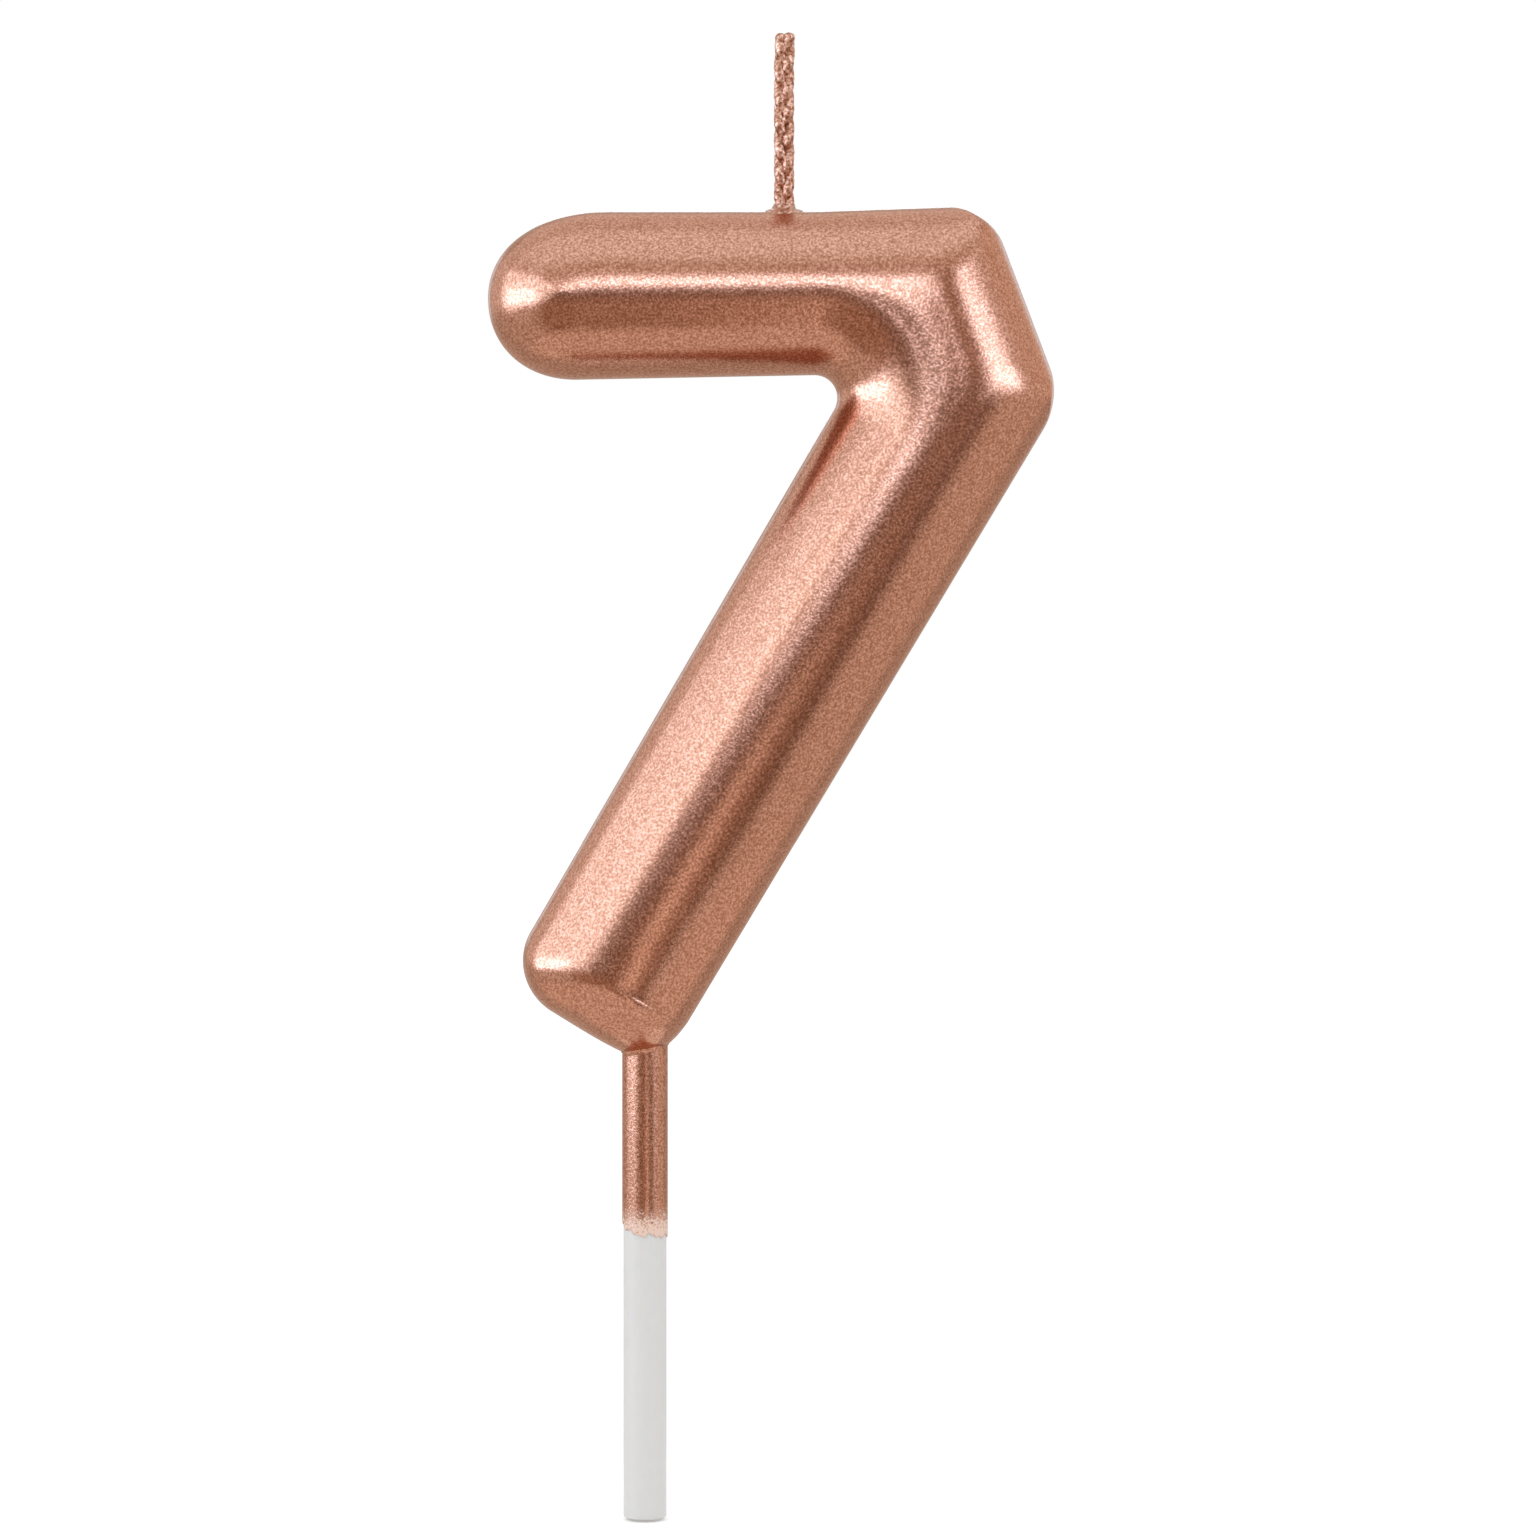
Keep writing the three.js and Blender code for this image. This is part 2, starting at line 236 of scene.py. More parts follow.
def reach(origin, direction):
    """Distance from a point in the outline, or on it, to where a ray leaves the numeral."""
    edges = np.diff(outline, axis=0)
    to_edge = outline[:-1] - origin
    cross = direction[0] * edges[:, 1] - direction[1] * edges[:, 0]
    cross[np.abs(cross) < NOT_ZERO] = NOT_ZERO
    distance = (to_edge[:, 0] * edges[:, 1] - to_edge[:, 1] * edges[:, 0]) / cross
    along = (to_edge[:, 0] * direction[1] - to_edge[:, 1] * direction[0]) / cross
    hit = (along >= 0) & (along <= 1) & (distance > 1)
    return distance[hit].min()


# The edges that the faces of the bar's tip, the shoulder and the foot rise from
tip_edge = np.array([vec(notch["centre"][0] + TIP_ROUND_TOP, BAR_TOP), *tip_curve, notch_corner])
outer_edge = np.array([*shoulder_curve, vec(swell_start[0] - TIP_ROUND_TOP, BAR_TOP)])
foot_edge = np.array([notch["end"], *foot["points"], neck_left])
foot_right = foot["start"] + ACROSS_LEG * reach(foot["start"], ACROSS_LEG)


def line_distance(points, start, end):
    along = unit(end - start)
    offset = points - start
    return np.abs(offset[:, 0] * along[1] - offset[:, 1] * along[0])


def edge_distance(points, line):
    """Distance from points to the nearest place on a line of many short edges."""
    edges = np.diff(line, axis=0)
    length = np.maximum((edges ** 2).sum(1), NOT_ZERO)
    offset = points[:, None] - line[None, :-1]
    share = np.clip((offset * edges).sum(2) / length, 0, 1)
    return np.sqrt(((offset - share[..., None] * edges) ** 2).sum(2).min(1))


def soft_min(a, b, width):
    """The smaller of two, blended where they differ by less than a width."""
    overlap = np.maximum(width - np.abs(a - b), 0) / width
    return np.minimum(a, b) - overlap ** 2 * width / 4


def rise(depth):
    """Height of a round edge over its own foot, from 0 on the edge to 1 a full rounding away."""
    return np.sqrt(1 - (1 - np.clip(depth, 0, 1)) ** 2)


def tip_rise(points, swell):
    return rise(edge_distance(points, tip_edge) / swell)


def bend_rise(points, swell):
    """The elbow's face rises from its two straight outer sides and from the notch, with creases between."""
    rim = edge_distance(points, outer_edge)
    width = np.minimum(CREASE_WIDTH, rim) + TINY
    sides = line_distance(points, swell_start, upper_corner)
    sides = soft_min(sides, line_distance(points, upper_corner, knee_corner), width)
    sides = soft_min(sides, line_distance(points, knee_corner, outer_foot), width)
    outside = soft_min(sides, rim * RIM_STEEPNESS, width)
    inside = np.linalg.norm(points - notch["centre"], axis=1) - NOTCH_ROUND
    # where both are more than a full rounding away, the flat of the elbow swells a little further
    beyond_in, beyond_out = np.maximum(inside / swell - 1, 0), np.maximum(outside / swell - 1, 0)
    dome = ELBOW_DOME * beyond_in * beyond_out / (beyond_in + beyond_out + TINY)
    return rise(np.minimum(inside, outside) / swell) + dome


def foot_rise(points, swell):
    """The foot ends in a steeper rounding than the stroke's own."""
    depths = [line_distance(points, foot["start"], foot_corner) / swell,
              line_distance(points, foot_corner, neck_left) / FOOT_CAP,
              edge_distance(points, foot_edge) * RIM_STEEPNESS / swell]
    depth = sum((d + TINY) ** -FOOT_CREASE for d in depths) ** (-1 / FOOT_CREASE)
    height = rise(np.minimum(depth, line_distance(points, foot_right, neck_right) / swell))
    return height / height.max()


def section(inner, direction, share=0.5, chord=None):
    """A cut straight across the stroke from its inner edge. Its middle lies a share of the way across."""
    chord = reach(inner, direction) if chord is None else chord
    return {"inner": inner, "middle": inner + direction * chord * share, "outer": inner + direction * chord,
            "half": HALF_THICKNESS, "closed": 0.0, "shape": None}


def stroke_sections(tip_steps, bar_steps, bend_steps, leg_steps, foot_steps):
    """Cuts across the stroke, from the tip of the bar to the neck on the stick.

    Each says where its inner edge, middle and outer edge are, its half thickness, how far the foot
    has closed there, and which function shapes its faces over which width. The leg's are plain ellipses.
    """
    rows = []
    tip_middle = section(bar_start_bottom, UP)["middle"]
    tip_shape = (tip_rise, reach(tip_middle, UP))
    for i in range(tip_steps):
        turn = 180 - 90 * i / tip_steps
        low, high = heading(-turn), heading(turn)
        rows.append({"inner": tip_middle + low * reach(tip_middle, low), "middle": tip_middle,
                     "outer": tip_middle + high * reach(tip_middle, high),
                     "half": HALF_THICKNESS, "closed": 0.0, "shape": tip_shape})
    for i in range(bar_steps):
        row = section(bar_start_bottom + (notch["start"] - bar_start_bottom) * i / bar_steps, UP)
        row["shape"] = (tip_rise, (row["outer"] - row["inner"])[1] / 2)
        rows.append(row)
    bar_half = reach(notch["start"], UP) / 2
    leg_half = reach(notch["end"], ACROSS_LEG) / 2
    for i in range(bend_steps):
        share = i / bend_steps
        direction = heading(90 + (-INNER_TILT - 90) * share)
        inner = notch["centre"] + direction * NOTCH_ROUND
        chord = reach(inner, direction)
        swell = bar_half + (leg_half - bar_half) * share
        row = section(inner, direction, swell / chord, chord)
        row["shape"] = (bend_rise, swell)
        rows.append(row)
    for i in range(leg_steps):
        rows.append(section(notch["end"] + (foot["start"] - notch["end"]) * i / leg_steps, ACROSS_LEG))
    edge = np.array([*foot["points"], neck_left])
    lengths = run_lengths(edge)
    first = section(foot["start"], ACROSS_LEG)
    turn = first["middle"] + heading(-90 - INNER_TILT) * FOOT_RUN
    neck = vec(0, STICK_EXPOSED)
    foot_shape = (foot_rise, np.linalg.norm(first["outer"] - first["inner"]) / 2)
    for i in range(foot_steps + 1):
        share = 1 - (1 - i / foot_steps) ** FOOT_CROWDING
        at = share * lengths[-1]
        closing = (1 - share ** 2) ** (1 / FOOT_CLOSING)
        rows.append({"inner": vec(np.interp(at, lengths, edge[:, 0]), np.interp(at, lengths, edge[:, 1])),
                     "middle": (1 - share) ** 2 * first["middle"] + 2 * share * (1 - share) * turn
                     + share ** 2 * neck,
                     "outer": first["outer"] + (neck_right - first["outer"]) * share,
                     "half": NECK_RADIUS + (HALF_THICKNESS - NECK_RADIUS) * closing,
                     "closed": share, "shape": foot_shape})
    return rows


def new_mesh(name, vertices, faces):
    """A smooth mesh of its own, from points in millimetres. Points in the same place are made one."""
    mesh = bpy.data.meshes.new(name)
    mesh.from_pydata([tuple(v) for v in np.asarray(vertices) * MM], [], [tuple(f) for f in faces])
    welded = bmesh.new()
    welded.from_mesh(mesh)
    bmesh.ops.remove_doubles(welded, verts=welded.verts, dist=WELD * MM)
    welded.to_mesh(mesh)
    welded.free()
    mesh.validate()
    mesh.polygons.foreach_set("use_smooth", [True] * len(mesh.polygons))
    mesh.update()
    piece = bpy.data.objects.new(name, mesh)
    bpy.context.scene.collection.objects.link(piece)
    return piece


def grid_faces(rings, sides, offset=0, flip=False):
    """Faces between rings that follow each other, each with the same number of points."""
    faces = []
    for i in range(rings - 1):
        for j in range(sides):
            a, b = offset + i * sides + j, offset + i * sides + (j + 1) % sides
            quad = [a, b, b + sides, a + sides]
            faces.append(quad[::-1] if flip else quad)
    return faces


def numeral_rings():
    """Rings of the numeral's skin, from the tip of the bar to the neck on the stick."""
    rings = []
    front = np.sin(ROUND)
    for row in stroke_sections(TIP_STEPS, BAR_STEPS, BEND_STEPS, LEG_STEPS, FOOT_STEPS):
        ring = np.zeros((AROUND, 3))
        for side, mask in ((row["outer"], np.cos(ROUND) >= 0), (row["inner"], np.cos(ROUND) < 0)):
            flat = row["middle"] + np.outer(np.abs(np.cos(ROUND[mask])), side - row["middle"])
            ring[mask, 0], ring[mask, 2] = flat[:, 0], flat[:, 1]
        ring[:, 1] = -row["half"] * front
        if row["shape"] is not None:
            shape, swell = row["shape"]
            face = np.sign(np.round(front, 9)) * shape(ring[:, [0, 2]], swell)
            ring[:, 1] = -row["half"] * (face + (front - face) * row["closed"] ** 2)
        ring[:, 2] += row["closed"] ** 3 * NECK_TILT * ring[:, 0]
        rings.append(ring)
    # the foot's creases are smoothed, first round each ring and then from ring to ring
    depth = np.array([ring[:, 1] for ring in rings])
    first = len(rings) - (FOOT_STEPS + 1) - FOOT_LEAD
    wave_left = (1 + math.cos(2 * math.pi / AROUND)) / 2
    for _ in range(ROUND_SMOOTHING):
        smooth = (np.roll(depth, 1, axis=1) + 2 * depth + np.roll(depth, -1, axis=1)) / 4
        depth[first:-1] = smooth[first:-1] / wave_left
    for _ in range(FOOT_SMOOTHING):
        depth[first:-1] = (depth[first - 1:-2] + 2 * depth[first:-1] + depth[first + 1:]) / 4
    depth *= HALF_THICKNESS / depth.max()
    for ring, row in zip(rings, depth):
        ring[:, 1] = row
    return rings


def sleeve_rings(neck):
    """Rings in from the neck to the stick, down the stick to the coat's worn end, and back up inside."""
    rings = []
    for outside, drop in LIP:
        ring = neck.copy()
        ring[:, :2] = neck[:, :2] / NECK_RADIUS * (SLEEVE_RADIUS + outside)
        ring[:, 2] -= drop
        rings.append(ring)
    start = rings[-1]
    ends = STICK_EXPOSED - COATED_STICK - WORN_FURTHER - waves(WORN_END, ROUND)
    for share in np.linspace(0, 1, SLEEVE_RINGS)[1:]:
        ring = start.copy()
        ring[:, 2] = start[:, 2] + (ends - start[:, 2]) * share
        rings.append(ring)
    closing = rings[-1].copy()
    closing[:, :2] *= SOCKET_RADIUS / SLEEVE_RADIUS
    inside = closing.copy()
    inside[:, 2] = STICK_EXPOSED + SOCKET_CLOSED
    return [*rings, closing, inside]


def collar_rings():
    """Rings of the lacquer that climbs the foot of the wick, from its upper rim out and down on the bar."""
    rings = []
    uneven = 1 + waves(COLLAR_UNEVEN, ROUND)
    for share in np.linspace(0, 1, COLLAR_RINGS):
        radius = (WICK_HALF + COLLAR_GAP + COLLAR_SPREAD * share ** COLLAR_FLARE) * uneven
        height = (COLLAR_HEIGHT * (1 - share) ** COLLAR_FALL
                  + COLLAR_BEAD * math.sin(math.pi * share ** COLLAR_BEAD_OUT))
        across_bar = radius * np.sin(ROUND) * (1 + COLLAR_DEEPER * share)
        bar_drop = BAR_HEIGHT_RIGHT / 2 * (1 - np.sqrt(1 - (across_bar / HALF_THICKNESS) ** 2))
        rings.append(np.stack([
            WICK_OFFSET + radius * np.cos(ROUND), across_bar,
            BAR_TOP + height * uneven - bar_drop - COLLAR_SINK * share ** COLLAR_SINK_OUT], axis=1))
    upper, lower = rings[0].copy(), rings[-1].copy()
    upper[:, :2] = (upper[:, :2] - [WICK_OFFSET, 0]) * COLLAR_CAP_SHARE + [WICK_OFFSET, 0]
    upper[:, 2] -= COLLAR_CAP_DROP
    lower[:, 2] -= COLLAR_FLOOR_DROP
    return [upper, *rings, lower]


def coat_mesh():
    """Points and faces of the coat. The collar's faces come apart, for a material of their own."""
    rings = numeral_rings()
    rings += sleeve_rings(rings[-1])
    faces = grid_faces(len(rings), AROUND)
    faces.append([(len(rings) - 1) * AROUND + j for j in range(AROUND)])
    base = len(rings) * AROUND
    collar = collar_rings()
    collar_faces = grid_faces(len(collar), AROUND, offset=base, flip=True)
    collar_faces.append([base + j for j in range(AROUND)])
    collar_faces.append([base + (len(collar) - 1) * AROUND + j for j in range(AROUND)][::-1])
    return np.concatenate(rings + collar), faces, collar_faces


def tube(points, radii):
    """A round tube along points, which turns as little as it can."""
    tangents = directions(points)
    side = np.cross(tangents[0], [0, 1, 0])
    angle = np.linspace(0, 2 * math.pi, STRAND_SIDES, endpoint=False)
    rings = []
    for point, tangent, radius in zip(points, tangents, radii):
        side = side - tangent * (side @ tangent)
        side /= np.linalg.norm(side)
        up = np.cross(tangent, side)
        rings.append(point + radius * (np.outer(np.cos(angle), side) + np.outer(np.sin(angle), up)))
    faces = grid_faces(len(rings), STRAND_SIDES)
    last = len(rings) * STRAND_SIDES
    for j in range(STRAND_SIDES):
        k = (j + 1) % STRAND_SIDES
        faces.append([last, k, j])
        faces.append([last + 1, last - STRAND_SIDES + j, last - STRAND_SIDES + k])
    return np.concatenate(rings + [[points[0]], [points[-1]]]), faces


def spline(points, count):
    """A smooth curve through points, at even steps along it, and its length."""
    p = np.array(points, float)
    p = np.vstack([2 * p[0] - p[1], p, 2 * p[-1] - p[-2]])
    fine = []
    for i in range(1, len(p) - 2):
        for t in np.linspace(0, 1, SPLINE_STEPS, endpoint=False):
            fine.append(0.5 * (2 * p[i] + (p[i + 1] - p[i - 1]) * t
                               + (2 * p[i - 1] - 5 * p[i] + 4 * p[i + 1] - p[i + 2]) * t * t
                               + (3 * p[i] - p[i - 1] - 3 * p[i + 1] + p[i + 2]) * t ** 3))
    fine.append(p[-2])
    fine = np.array(fine)
    lengths = run_lengths(fine)
    at = np.linspace(0, lengths[-1], count)
    return np.stack([np.interp(at, lengths, fine[:, k]) for k in range(3)], axis=1), lengths[-1]


def wick_route():
    """The wick's middle: down above the bar, then hidden in the wax, round the bend and down the leg."""
    middles = [row["middle"] for row in stroke_sections(*ROUTE_SECTIONS)[:-2]]
    entry = next(i for i, middle in enumerate(middles) if middle[0] > WICK_OFFSET + WICK_TURN)
    hidden = [(x, 0, z) for x, z in middles[entry::ROUTE_EVERY] if z > STICK_TOP + WICK_TO_STICK]
    return spline([(WICK_OFFSET + WICK_LEAN, 0, BAR_TOP + WICK_EXPOSED),
                   *((WICK_OFFSET, 0, BAR_TOP + height) for height in WICK_STRAIGHT), *hidden], ROUTE_POINTS)


vertices, faces, collar_faces = coat_mesh()
coat = new_mesh("coat", vertices, faces + collar_faces)

route, route_length = wick_route()
route_directions = directions(route)
along = np.linspace(0, route_length, ROUTE_POINTS)
strands = []
for index in range(STRANDS):
    turn = 2 * math.pi * (index / STRANDS + along / PLAIT_PITCH)
    swing = PLAIT_SWING * np.tanh(PLAIT_FULLNESS * np.sin(turn)) / math.tanh(PLAIT_FULLNESS)
    path = route.copy()
    path[:, 0] -= route_directions[:, 2] * swing
    path[:, 2] += route_directions[:, 0] * swing
    path[:, 1] += PLAIT_DEPTH * np.sin(2 * turn)
    lumps = 1 + sum(LUMP * np.sin(along * rate + k * index) for k, rate in enumerate(LUMP_RATES, 1))
    lumps[:2] = STRAND_END
    strands.append(new_mesh(f"strand_{index + 1}", *tube(path, STRAND_RADIUS * lumps)))


# Materials, with lengths in metres. A noise scale is about how many grains there are in a metre.
def node_material(name):
    material = bpy.data.materials.new(name)
    material.use_nodes = True
    nodes, links = material.node_tree.nodes, material.node_tree.links
    return material, nodes, links, nodes["Principled BSDF"]


def noise(nodes, links, source, scale, detail, roughness=0.5):
    texture = nodes.new("ShaderNodeTexNoise")
    texture.inputs["Scale"].default_value = scale
    texture.inputs["Detail"].default_value = detail
    texture.inputs["Roughness"].default_value = roughness
    links.new(source, texture.inputs["Vector"])
    return texture.outputs["Fac"]


def ramp(nodes, links, source, stops):
    made = nodes.new("ShaderNodeValToRGB")
    elements = made.color_ramp.elements
    for k, (position, color) in enumerate(stops):
        element = elements[k] if k < 2 else elements.new(position)
        element.position = position
        element.color = (*color, 1)
    links.new(source, made.inputs["Fac"])
    return made.outputs["Color"]


def calculated(nodes, links, operation, *values):
    """What a maths node gives for its inputs, each a number or another node's output."""
    made = nodes.new("ShaderNodeMath")
    made.operation = operation
    for socket, value in zip(made.inputs, values):
        if isinstance(value, float):
            socket.default_value = value
        else:
            links.new(value, socket)
    return made.outputs["Value"]


def ranged(nodes, links, source, end, low, high):
    """A Map Range node from or to the given limits, with 0 and 1 at its other end."""
    made = nodes.new("ShaderNodeMapRange")
    made.inputs[f"{end} Min"].default_value = low
    made.inputs[f"{end} Max"].default_value = high
    links.new(source, made.inputs["Value"])
    return made.outputs["Result"]


LACQUER = [(0.38, (0.35, 0.145, 0.086)),
           (0.5, (0.50, 0.231, 0.150)),
           (0.62, (0.665, 0.352, 0.257))]
WICK_LACQUER = [(0.40, (0.25, 0.092, 0.050)),
                (0.5, (0.51, 0.245, 0.162)),
                (0.62, (0.80, 0.53, 0.42))]
LACQUER_GLOSS = (1, 0.88, 0.8, 1)
CLEAR_COAT, CLEAR_COAT_ROUGHNESS = 0.08, 0.22
ROUGHNESS_SPREAD = 0.06
CLOUD_SCALE = 900
WORN_TONE = (0.80, 0.58, 0.49, 1)
WORN_SPECKLE_SCALE, WORN_SPECKLE = 5200, 0.006
WORN_FROM = (STICK_EXPOSED - COATED_STICK + 3.4) * MM
WORN_TO = (STICK_EXPOSED - COATED_STICK + 4.7) * MM


def metallic_lacquer(name, tones, roughness, grain_scale, bump, bump_depth, metallic=1, worn=False):
    """Copper coloured flakes in lacquer. A worn one thins out to a pale, speckled end on the stick."""
    material, nodes, links, shader = node_material(name)
    where = nodes.new("ShaderNodeTexCoord").outputs["Object"]
    grain = noise(nodes, links, where, grain_scale, 3, 0.65)
    tone = ramp(nodes, links, grain, tones)
    cloud = noise(nodes, links, where, CLOUD_SCALE, 2)
    rough = ranged(nodes, links, cloud, "To", roughness, roughness + ROUGHNESS_SPREAD)
    links.new(rough, shader.inputs["Roughness"])
    relief = nodes.new("ShaderNodeBump")
    relief.inputs["Strength"].default_value = bump
    relief.inputs["Distance"].default_value = bump_depth
    links.new(grain, relief.inputs["Height"])
    links.new(relief.outputs["Normal"], shader.inputs["Normal"])
    shader.inputs["Specular Tint"].default_value = LACQUER_GLOSS
    shader.inputs["Coat Weight"].default_value = CLEAR_COAT
    shader.inputs["Coat Roughness"].default_value = CLEAR_COAT_ROUGHNESS
    if not worn:
        links.new(tone, shader.inputs["Base Color"])
        shader.inputs["Metallic"].default_value = metallic
        return material
    axes = nodes.new("ShaderNodeSeparateXYZ")
    links.new(where, axes.inputs["Vector"])
    speckle = noise(nodes, links, where, WORN_SPECKLE_SCALE, 2, 0.6)
    spread = calculated(nodes, links, "MULTIPLY_ADD", speckle, WORN_SPECKLE, axes.outputs["Z"])
    kept = ranged(nodes, links, spread, "From", WORN_FROM, WORN_TO)
    fade = nodes.new("ShaderNodeMix")
    fade.data_type = "RGBA"
    # sockets 6 and 7 are the two colours of a Mix node, and 2 is its colour output
    fade.inputs[6].default_value = WORN_TONE
    links.new(kept, fade.inputs[0])
    links.new(tone, fade.inputs[7])
    links.new(fade.outputs[2], shader.inputs["Base Color"])
    links.new(kept, shader.inputs["Metallic"])
    return material


def clouded(name, scale, detail, darker, lighter, roughness):
    """A dull material that varies softly between two colours."""
    material, nodes, links, shader = node_material(name)
    where = nodes.new("ShaderNodeTexCoord").outputs["Object"]
    haze = noise(nodes, links, where, scale, detail)
    tone = ramp(nodes, links, haze, [(0.3, darker), (0.7, lighter)])
    links.new(tone, shader.inputs["Base Color"])
    shader.inputs["Roughness"].default_value = roughness
    return material, shader


coat.data.materials.append(metallic_lacquer(
    "metallic_lacquer", LACQUER, roughness=0.17, grain_scale=5200, bump=0.2, bump_depth=0.00006, worn=True))
coat.data.materials.append(metallic_lacquer(
    "collar_lacquer", WICK_LACQUER, roughness=0.3, grain_scale=3600, bump=0.6, bump_depth=0.00008,
    metallic=0.6))
for face in coat.data.polygons[-len(collar_faces):]:
    face.material_index = 1
wick_lacquer = metallic_lacquer(
    "wick_lacquer", WICK_LACQUER, roughness=0.34, grain_scale=3000, bump=0.8, bump_depth=0.0001)
for strand in strands:
    strand.data.materials.append(wick_lacquer)

white, shader = clouded(
    "white_plastic", 700, 3, (0.675, 0.67, 0.66), (0.69, 0.685, 0.675), roughness=0.45)
shader.inputs["Subsurface Weight"].default_value = 0.15
shader.inputs["Subsurface Scale"].default_value = 0.001
wax, _ = clouded("cream_wax", 300, 4, (0.82, 0.76, 0.62), (0.88, 0.83, 0.70), roughness=0.5)
for node, material in (("stick", white), ("wax_core", wax)):
    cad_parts[node].data.materials.clear()
    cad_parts[node].data.materials.append(material)

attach(coat, "root")
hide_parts("metallic_coat")
for index, strand in enumerate(strands):
    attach(strand, "root")
    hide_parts(f"wick_strand_{index + 1}")

# Studio, with lengths in metres and bearings in degrees, 0 at the front and 90 at the object's right
CENTRE = Vector((0.0103, 0, 0.0625))
FLOOR_SIZE = 6
FLOOR_DROP = 0.0002
FLOOR_LIFT = 0.2
MAT_DROP = 0.0001
SCREEN_ROWS, SCREEN_COLUMNS = 12, 24
MAT_COLUMNS = 16


def staged(name, vertices, faces):
    """A plain mesh that belongs to the studio and isn't part of the object."""
    mesh = bpy.data.meshes.new(name)
    mesh.from_pydata(vertices, [], faces)
    made = bpy.data.objects.new(name, mesh)
    bpy.context.scene.collection.objects.link(made)
    return made


half = FLOOR_SIZE / 2
floor = staged("floor", [(-half, -half, 0), (half, -half, 0), (half, half, 0), (-half, half, 0)],
               [(0, 1, 2, 3)])
floor.location = (0, 0, -FLOOR_DROP)
paper, shader = clouded("floor_paper", 60, 3, (0.93, 0.93, 0.93), (0.95, 0.95, 0.95), roughness=0.9)
shader.inputs["Emission Color"].default_value = (1, 1, 1, 1)
# the lift to white is only for what the camera sees, directly or through a gloss or glass
nodes, links = paper.node_tree.nodes, paper.node_tree.links
rays = nodes.new("ShaderNodeLightPath").outputs
sent_on = calculated(nodes, links, "MAXIMUM", rays["Is Glossy Ray"], rays["Is Transmission Ray"])
shown = calculated(nodes, links, "MAXIMUM", rays["Is Camera Ray"], sent_on)
lift = calculated(nodes, links, "MULTIPLY", shown, FLOOR_LIFT)
links.new(lift, shader.inputs["Emission Strength"])
paper.cycles.emission_sampling = "NONE"
floor.data.materials.append(paper)


def toward(bearing, elevation):
    a, e = math.radians(bearing), math.radians(elevation)
    return Vector((math.sin(a) * math.cos(e), -math.cos(a) * math.cos(e), math.sin(e)))


def between(limits, step, steps):
    return limits[0] + (limits[1] - limits[0]) * step / steps


def reflected(name, vertices, faces, level, tint):
    """A plain surface of one brightness, where 1 is white. Only reflections see it."""
    material = bpy.data.materials.new(name)
    material.use_nodes = True
    nodes, links = material.node_tree.nodes, material.node_tree.links
    nodes.clear()
    emission = nodes.new("ShaderNodeEmission")
    emission.inputs["Color"].default_value = (*tint, 1)
    emission.inputs["Strength"].default_value = level
    out = nodes.new("ShaderNodeOutputMaterial")
    links.new(emission.outputs["Emission"], out.inputs["Surface"])
    material.cycles.emission_sampling = "NONE"
    made = staged(name, vertices, faces)
    made.data.materials.append(material)
    made.visible_camera = False
    made.visible_diffuse = False
    made.visible_shadow = False


def screen(name, bearings, elevations, distance, level, tint):
    """A curved card that stands round one side of the object, between two bearings and two heights."""
    vertices, faces = [], []
    for i in range(SCREEN_ROWS + 1):
        elevation = between(elevations, i, SCREEN_ROWS)
        for j in range(SCREEN_COLUMNS + 1):
            bearing = between(bearings, j, SCREEN_COLUMNS)
            vertices.append(tuple(CENTRE + toward(bearing, elevation) * distance))
    for i in range(SCREEN_ROWS):
        for j in range(SCREEN_COLUMNS):
            k = i * (SCREEN_COLUMNS + 1) + j
            faces.append((k, k + 1, k + SCREEN_COLUMNS + 2, k + SCREEN_COLUMNS + 1))
    reflected(name, vertices, faces, level, tint)


def mat(name, bearings, radii, level, tint):
    """A piece of card on the floor, between two bearings and two distances from under the object."""
    vertices = []
    for radius in radii:
        for j in range(MAT_COLUMNS + 1):
            a = math.radians(between(bearings, j, MAT_COLUMNS))
            vertices.append((CENTRE.x + radius * math.sin(a), -radius * math.cos(a), -MAT_DROP))
    faces = [(j, j + MAT_COLUMNS + 1, j + MAT_COLUMNS + 2, j + 1) for j in range(MAT_COLUMNS)]
    reflected(name, vertices, faces, level, tint)


def softbox(name, bearing, elevation, distance, size, radiance):
    """A square area lamp of the given brightness, where 1 shows as white."""
    lamp = bpy.data.lights.new(name, "AREA")
    lamp.shape = "RECTANGLE"
    lamp.size = lamp.size_y = size
    lamp.energy = radiance * math.pi * size * size
    made = bpy.data.objects.new(name, lamp)
    bpy.context.scene.collection.objects.link(made)
    made.location = CENTRE + toward(bearing, elevation) * distance
    made.rotation_mode = "QUATERNION"
    made.rotation_quaternion = toward(bearing, elevation).to_track_quat("Z", "Y")
    return made


COOL = (0.86, 1.03, 1.2)
COLD = (0.82, 1.04, 1.32)
NEUTRAL = (0.87, 0.96, 1.01)
WARM = (1.0, 0.92, 0.84)
BROWN = (1.0, 0.72, 0.54)

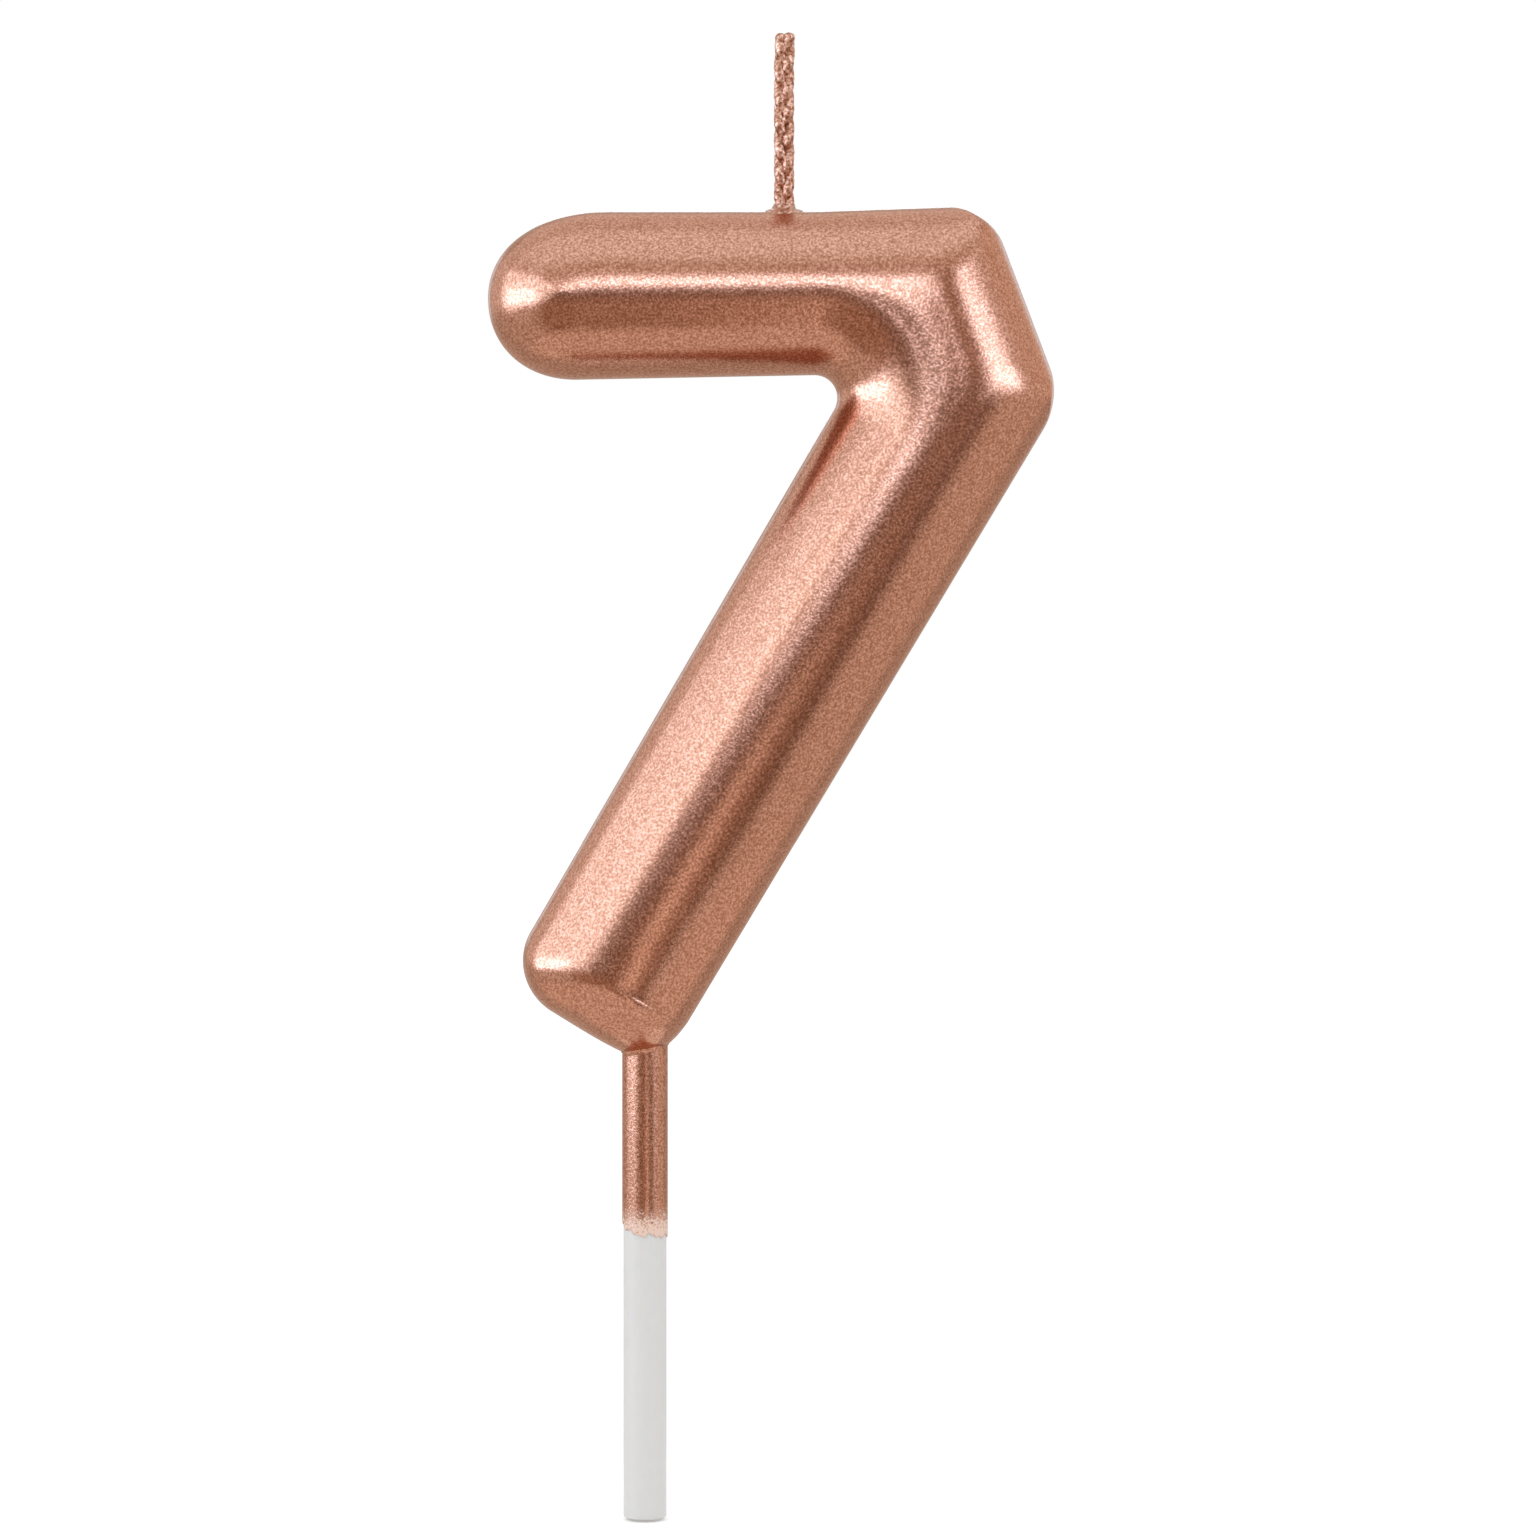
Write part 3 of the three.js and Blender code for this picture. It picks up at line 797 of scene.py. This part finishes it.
# Name, bearings, elevations, distance, level and tint
screen("board_left", (-104, -30), (-3, 32), 0.9, 2.3, COOL)
screen("board_left_core", (-95, -44), (-4, 12), 0.8, 4.7, COLD)
screen("board_left_inner", (-30, -19), (9, 23), 0.9, 3.1, COOL)
screen("board_strip", (-10, 7), (10, 19.5), 0.9, 4.9, COLD)
screen("board_right", (33, 64), (3, 23), 0.9, 4.2, COLD)
screen("board_top", (-100, 100), (45, 88), 0.9, 1.42, NEUTRAL)
screen("card_camera", (-26, 26), (-5, 8.5), 0.6, 0.3, BROWN)
screen("card_gap", (-36, 70), (26, 39), 0.6, 0.82, WARM)
screen("card_gap_right", (9, 31), (8.5, 26), 0.7, 0.5, BROWN)
screen("card_right", (80, 150), (-3, 40), 0.9, 0.93, WARM)
screen("card_back", (150, 222), (-3, 40), 0.9, 0.62, WARM)
screen("board_back", (170, 188), (11, 21), 0.8, 3.6, COOL)
screen("board_back_side", (142, 160), (-3, 26), 0.8, 1.2, COOL)
screen("board_back_far_side", (202, 212), (4, 24), 0.8, 1.3, COOL)

# Name, bearings, distances from under the object, level and tint
mat("mat_near", (-110, 110), (0.0, 0.09), 0.95, WARM)
mat("mat_left", (-110, -45), (0.09, 2), 0.77, WARM)
mat("mat_front_left", (-45, 3), (0.09, 2), 0.5, BROWN)
mat("mat_front", (3, 16), (0.09, 2), 1.25, WARM)
mat("mat_front_right", (16, 28), (0.09, 2), 0.48, BROWN)
mat("mat_dark", (28, 42), (0.11, 2), 0.27, BROWN)
mat("mat_right_near", (42, 60), (0.09, 2), 0.82, WARM)
mat("mat_right", (60, 110), (0.09, 2), 0.84, WARM)
mat("mat_back", (110, 200), (0.03, 2), 0.63, WARM)
mat("mat_back_left", (200, 250), (0.03, 2), 0.67, WARM)

key = softbox("box_key", -55, 30, 0.9, 0.5, 0.9)
key.visible_glossy = False
world = bpy.data.worlds.new("studio")
bpy.context.scene.world = world
world.use_nodes = True
world.node_tree.nodes["Background"].inputs["Color"].default_value = (1, 1, 1, 1)
world.node_tree.nodes["Background"].inputs["Strength"].default_value = 1

# The camera shows the photograph's whole frame. One of its pixels is PIXEL millimetres at the object.
PICTURE = 1536
PIXEL = 0.0835
CAMERA_AWAY = 330
CAMERA_RIGHT = 10.27
CAMERA_UP = 62.51
SENSOR = 36
camera_data = bpy.data.cameras.new("camera")
camera = bpy.data.objects.new("camera", camera_data)
bpy.context.scene.collection.objects.link(camera)
camera.location = (CAMERA_RIGHT * MM, -CAMERA_AWAY * MM, CAMERA_UP * MM)
camera.rotation_euler = (math.radians(90), 0, 0)
camera_data.sensor_width = SENSOR
camera_data.lens = SENSOR * CAMERA_AWAY / (PICTURE * PIXEL)
bpy.context.scene.camera = camera
bpy.context.scene.view_settings.view_transform = "Standard"
